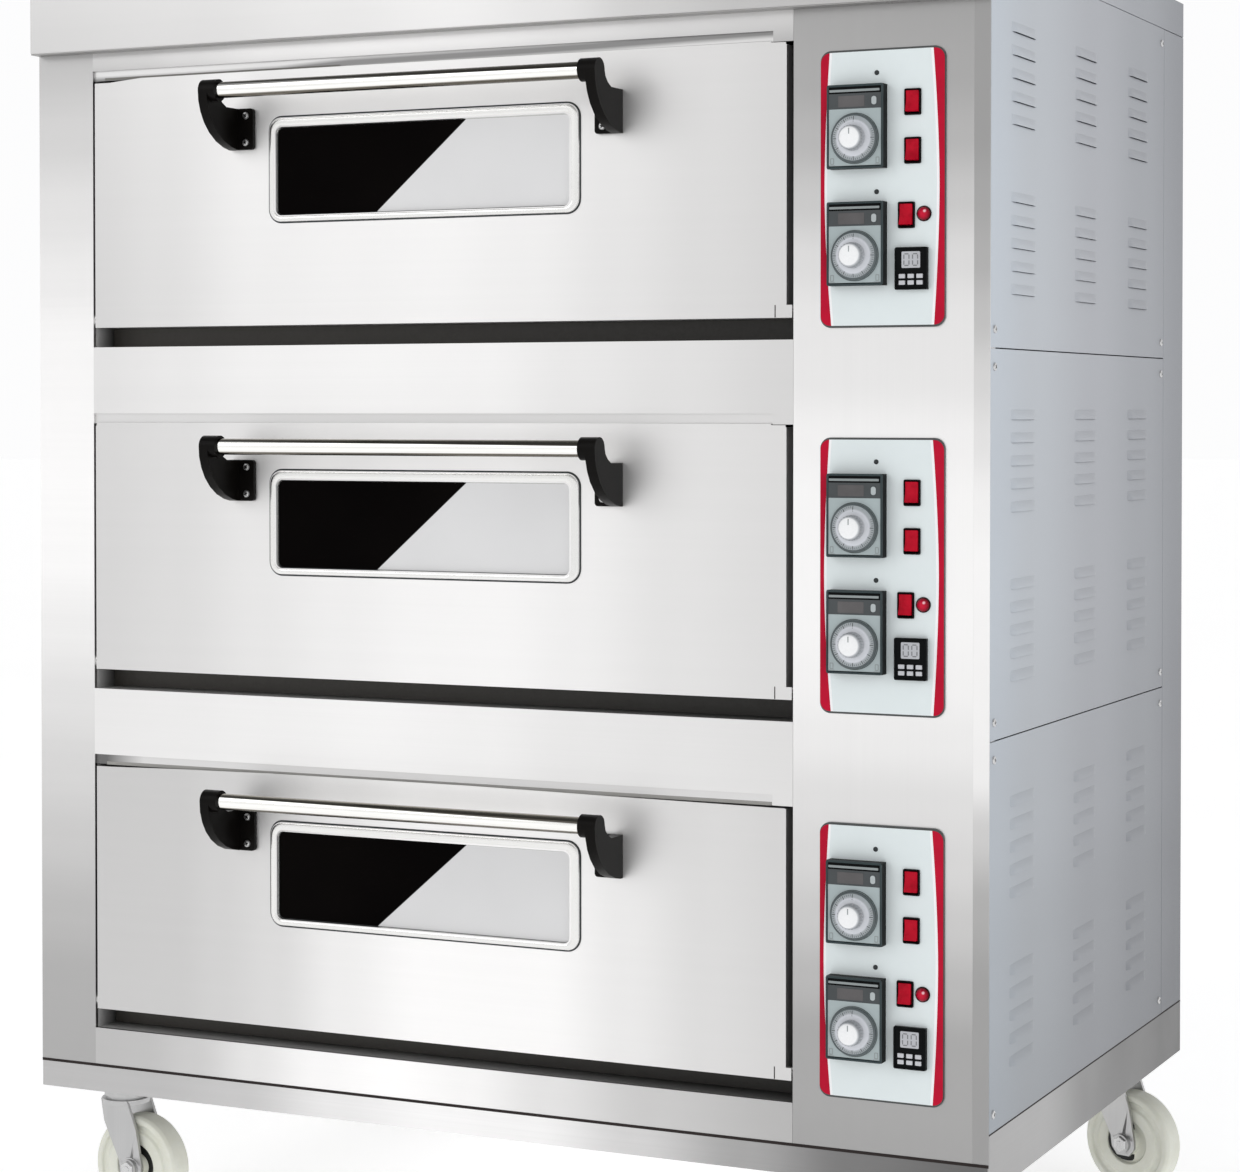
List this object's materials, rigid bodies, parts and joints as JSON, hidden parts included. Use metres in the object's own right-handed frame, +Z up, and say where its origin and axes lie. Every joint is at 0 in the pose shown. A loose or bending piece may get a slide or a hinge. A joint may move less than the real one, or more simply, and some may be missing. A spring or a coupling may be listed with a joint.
{
  "type": "deck oven",
  "caption": "Floor-standing electric deck oven with stacked drop-down glazed doors, bar handles, a side control column, louvred side panels and swivel casters.",
  "frame": {"origin": "on the floor under the middle of the whole oven's bounding box", "axes": "+Z up, front doors face -Y, control column on the +X side"},
  "size_m": [1.2714, 0.895, 1.56],
  "materials": {
    "front_stainless": "satin",
    "side_sheet": "satin",
    "base_steel": "satin",
    "chamber_steel": "matte",
    "hearth_steel": "matte",
    "heater_tube": "matte",
    "mineral_wool": "matte",
    "fascia_sheet": "satin",
    "instrument_case": "satin",
    "switch_case": "satin",
    "rocker_red": "gloss",
    "lamp_red": "gloss",
    "dial_white": "gloss",
    "key_light": "satin",
    "switchgear_plastic": "matte",
    "screw_steel": "satin",
    "window_glass": "gloss",
    "bar_chrome": "polished",
    "bracket_black": "satin",
    "fork_zinc": "satin",
    "wheel_nylon": "satin"
  },
  "bodies": {
    "casing": {"base_frame": "base_steel", "caster_plates": "fork_zinc", "front_frame": "front_stainless", "control_column": "front_stainless", "side_panels": "side_sheet", "rear_panel": "side_sheet", "top_cover": "side_sheet", "crown": "front_stainless", "chamber_liners": "chamber_steel", "hearth_plates": "hearth_steel", "heating_elements": "heater_tube", "insulation": "mineral_wool", "control_fascias": "fascia_sheet", "instrument_bodies": "instrument_case", "switch_bodies": "switch_case", "signal_lamps": "lamp_red", "switchgear_and_gland": "switchgear_plastic", "panel_screws": "screw_steel", "hinge_pins": "screw_steel"},
    "door_lower": {"door_panel_lower": "front_stainless", "door_liner_lower": "chamber_steel", "door_glass_lower": "window_glass", "handle_bar_lower": "bar_chrome", "handle_brackets_lower": "bracket_black"},
    "door_middle": {"door_panel_middle": "front_stainless", "door_liner_middle": "chamber_steel", "door_glass_middle": "window_glass", "handle_bar_middle": "bar_chrome", "handle_brackets_middle": "bracket_black"},
    "door_upper": {"door_panel_upper": "front_stainless", "door_liner_upper": "chamber_steel", "door_glass_upper": "window_glass", "handle_bar_upper": "bar_chrome", "handle_brackets_upper": "bracket_black"},
    "dial_lower_bottom": {"temperature_dial_lower_bottom": "dial_white"},
    "dial_lower_top": {"temperature_dial_lower_top": "dial_white"},
    "rocker_lower_a_paddle": {"rocker_lower_a": "rocker_red"},
    "rocker_lower_b_paddle": {"rocker_lower_b": "rocker_red"},
    "rocker_lower_c_paddle": {"rocker_lower_c": "rocker_red"},
    "keys_lower": {"timer_keys_lower": "key_light"},
    "dial_middle_bottom": {"temperature_dial_middle_bottom": "dial_white"},
    "dial_middle_top": {"temperature_dial_middle_top": "dial_white"},
    "rocker_middle_a_paddle": {"rocker_middle_a": "rocker_red"},
    "rocker_middle_b_paddle": {"rocker_middle_b": "rocker_red"},
    "rocker_middle_c_paddle": {"rocker_middle_c": "rocker_red"},
    "keys_middle": {"timer_keys_middle": "key_light"},
    "dial_upper_bottom": {"temperature_dial_upper_bottom": "dial_white"},
    "dial_upper_top": {"temperature_dial_upper_top": "dial_white"},
    "rocker_upper_a_paddle": {"rocker_upper_a": "rocker_red"},
    "rocker_upper_b_paddle": {"rocker_upper_b": "rocker_red"},
    "rocker_upper_c_paddle": {"rocker_upper_c": "rocker_red"},
    "keys_upper": {"timer_keys_upper": "key_light"},
    "caster_front_left": {"caster_fork_front_left": "fork_zinc"},
    "wheel_front_left": {"caster_wheel_front_left": "wheel_nylon"},
    "caster_front_right": {"caster_fork_front_right": "fork_zinc"},
    "wheel_front_right": {"caster_wheel_front_right": "wheel_nylon"},
    "caster_rear_left": {"caster_fork_rear_left": "fork_zinc"},
    "wheel_rear_left": {"caster_wheel_rear_left": "wheel_nylon"},
    "caster_rear_right": {"caster_fork_rear_right": "fork_zinc"},
    "wheel_rear_right": {"caster_wheel_rear_right": "wheel_nylon"}
  },
  "joints": [
    {"name": "door_lower_hinge", "type": "hinge", "parent": "casing", "child": "door_lower", "pos_m": [-0.075, -0.3645, 0.283], "axis": [1, 0, 0], "range_deg": [0, 90]},
    {"name": "door_middle_hinge", "type": "hinge", "parent": "casing", "child": "door_middle", "pos_m": [-0.075, -0.3645, 0.702], "axis": [1, 0, 0], "range_deg": [0, 90]},
    {"name": "door_upper_hinge", "type": "hinge", "parent": "casing", "child": "door_upper", "pos_m": [-0.075, -0.3645, 1.121], "axis": [1, 0, 0], "range_deg": [0, 90]},
    {"name": "dial_lower_bottom_turn", "type": "hinge", "parent": "casing", "child": "dial_lower_bottom", "pos_m": [0.468, -0.3915, 0.338], "axis": [0, 1, 0], "range_deg": [0, 300]},
    {"name": "dial_lower_top_turn", "type": "hinge", "parent": "casing", "child": "dial_lower_top", "pos_m": [0.468, -0.3915, 0.464], "axis": [0, 1, 0], "range_deg": [0, 300]},
    {"name": "rocker_lower_a_tilt", "type": "hinge", "parent": "casing", "child": "rocker_lower_a_paddle", "pos_m": [0.52925, -0.377, 0.502], "axis": [1, 0, 0], "range_deg": [0, 16]},
    {"name": "rocker_lower_b_tilt", "type": "hinge", "parent": "casing", "child": "rocker_lower_b_paddle", "pos_m": [0.52925, -0.377, 0.45], "axis": [1, 0, 0], "range_deg": [0, 16]},
    {"name": "rocker_lower_c_tilt", "type": "hinge", "parent": "casing", "child": "rocker_lower_c_paddle", "pos_m": [0.52225, -0.377, 0.381], "axis": [1, 0, 0], "range_deg": [0, 16]},
    {"name": "keys_lower_press", "type": "slide", "parent": "casing", "child": "keys_lower", "axis": [0, 1, 0], "range_m": [0, 0.001], "stiffness_N_per_m": 200},
    {"name": "dial_middle_bottom_turn", "type": "hinge", "parent": "casing", "child": "dial_middle_bottom", "pos_m": [0.468, -0.3915, 0.757], "axis": [0, 1, 0], "range_deg": [0, 300]},
    {"name": "dial_middle_top_turn", "type": "hinge", "parent": "casing", "child": "dial_middle_top", "pos_m": [0.468, -0.3915, 0.883], "axis": [0, 1, 0], "range_deg": [0, 300]},
    {"name": "rocker_middle_a_tilt", "type": "hinge", "parent": "casing", "child": "rocker_middle_a_paddle", "pos_m": [0.52925, -0.377, 0.921], "axis": [1, 0, 0], "range_deg": [0, 16]},
    {"name": "rocker_middle_b_tilt", "type": "hinge", "parent": "casing", "child": "rocker_middle_b_paddle", "pos_m": [0.52925, -0.377, 0.869], "axis": [1, 0, 0], "range_deg": [0, 16]},
    {"name": "rocker_middle_c_tilt", "type": "hinge", "parent": "casing", "child": "rocker_middle_c_paddle", "pos_m": [0.52225, -0.377, 0.8], "axis": [1, 0, 0], "range_deg": [0, 16]},
    {"name": "keys_middle_press", "type": "slide", "parent": "casing", "child": "keys_middle", "axis": [0, 1, 0], "range_m": [0, 0.001], "stiffness_N_per_m": 200},
    {"name": "dial_upper_bottom_turn", "type": "hinge", "parent": "casing", "child": "dial_upper_bottom", "pos_m": [0.468, -0.3915, 1.176], "axis": [0, 1, 0], "range_deg": [0, 300]},
    {"name": "dial_upper_top_turn", "type": "hinge", "parent": "casing", "child": "dial_upper_top", "pos_m": [0.468, -0.3915, 1.302], "axis": [0, 1, 0], "range_deg": [0, 300]},
    {"name": "rocker_upper_a_tilt", "type": "hinge", "parent": "casing", "child": "rocker_upper_a_paddle", "pos_m": [0.52925, -0.377, 1.34], "axis": [1, 0, 0], "range_deg": [0, 16]},
    {"name": "rocker_upper_b_tilt", "type": "hinge", "parent": "casing", "child": "rocker_upper_b_paddle", "pos_m": [0.52925, -0.377, 1.288], "axis": [1, 0, 0], "range_deg": [0, 16]},
    {"name": "rocker_upper_c_tilt", "type": "hinge", "parent": "casing", "child": "rocker_upper_c_paddle", "pos_m": [0.52225, -0.377, 1.219], "axis": [1, 0, 0], "range_deg": [0, 16]},
    {"name": "keys_upper_press", "type": "slide", "parent": "casing", "child": "keys_upper", "axis": [0, 1, 0], "range_m": [0, 0.001], "stiffness_N_per_m": 200},
    {"name": "caster_front_left_swivel", "type": "hinge", "parent": "casing", "child": "caster_front_left", "pos_m": [-0.546, -0.2945, 0.15], "axis": [0, 0, 1], "continuous": true},
    {"name": "wheel_front_left_roll", "type": "hinge", "parent": "caster_front_left", "child": "wheel_front_left", "pos_m": [-0.51913, -0.29718, 0.0635], "axis": [0.0993, 0.9951, 0], "continuous": true},
    {"name": "caster_front_right_swivel", "type": "hinge", "parent": "casing", "child": "caster_front_right", "pos_m": [0.546, -0.2945, 0.15], "axis": [0, 0, 1], "continuous": true},
    {"name": "wheel_front_right_roll", "type": "hinge", "parent": "caster_front_right", "child": "wheel_front_right", "pos_m": [0.55868, -0.27066, 0.0635], "axis": [-0.8829, 0.4695, 0], "continuous": true},
    {"name": "caster_rear_left_swivel", "type": "hinge", "parent": "casing", "child": "caster_rear_left", "pos_m": [-0.546, 0.3635, 0.15], "axis": [0, 0, 1], "continuous": true},
    {"name": "wheel_rear_left_roll", "type": "hinge", "parent": "caster_rear_left", "child": "wheel_rear_left", "pos_m": [-0.57163, 0.35502, 0.0635], "axis": [0.314, -0.9494, 0], "continuous": true},
    {"name": "caster_rear_right_swivel", "type": "hinge", "parent": "casing", "child": "caster_rear_right", "pos_m": [0.546, 0.3635, 0.15], "axis": [0, 0, 1], "continuous": true},
    {"name": "wheel_rear_right_roll", "type": "hinge", "parent": "caster_rear_right", "child": "wheel_rear_right", "pos_m": [0.57163, 0.35502, 0.0635], "axis": [0.314, 0.9494, 0], "continuous": true}
  ]
}
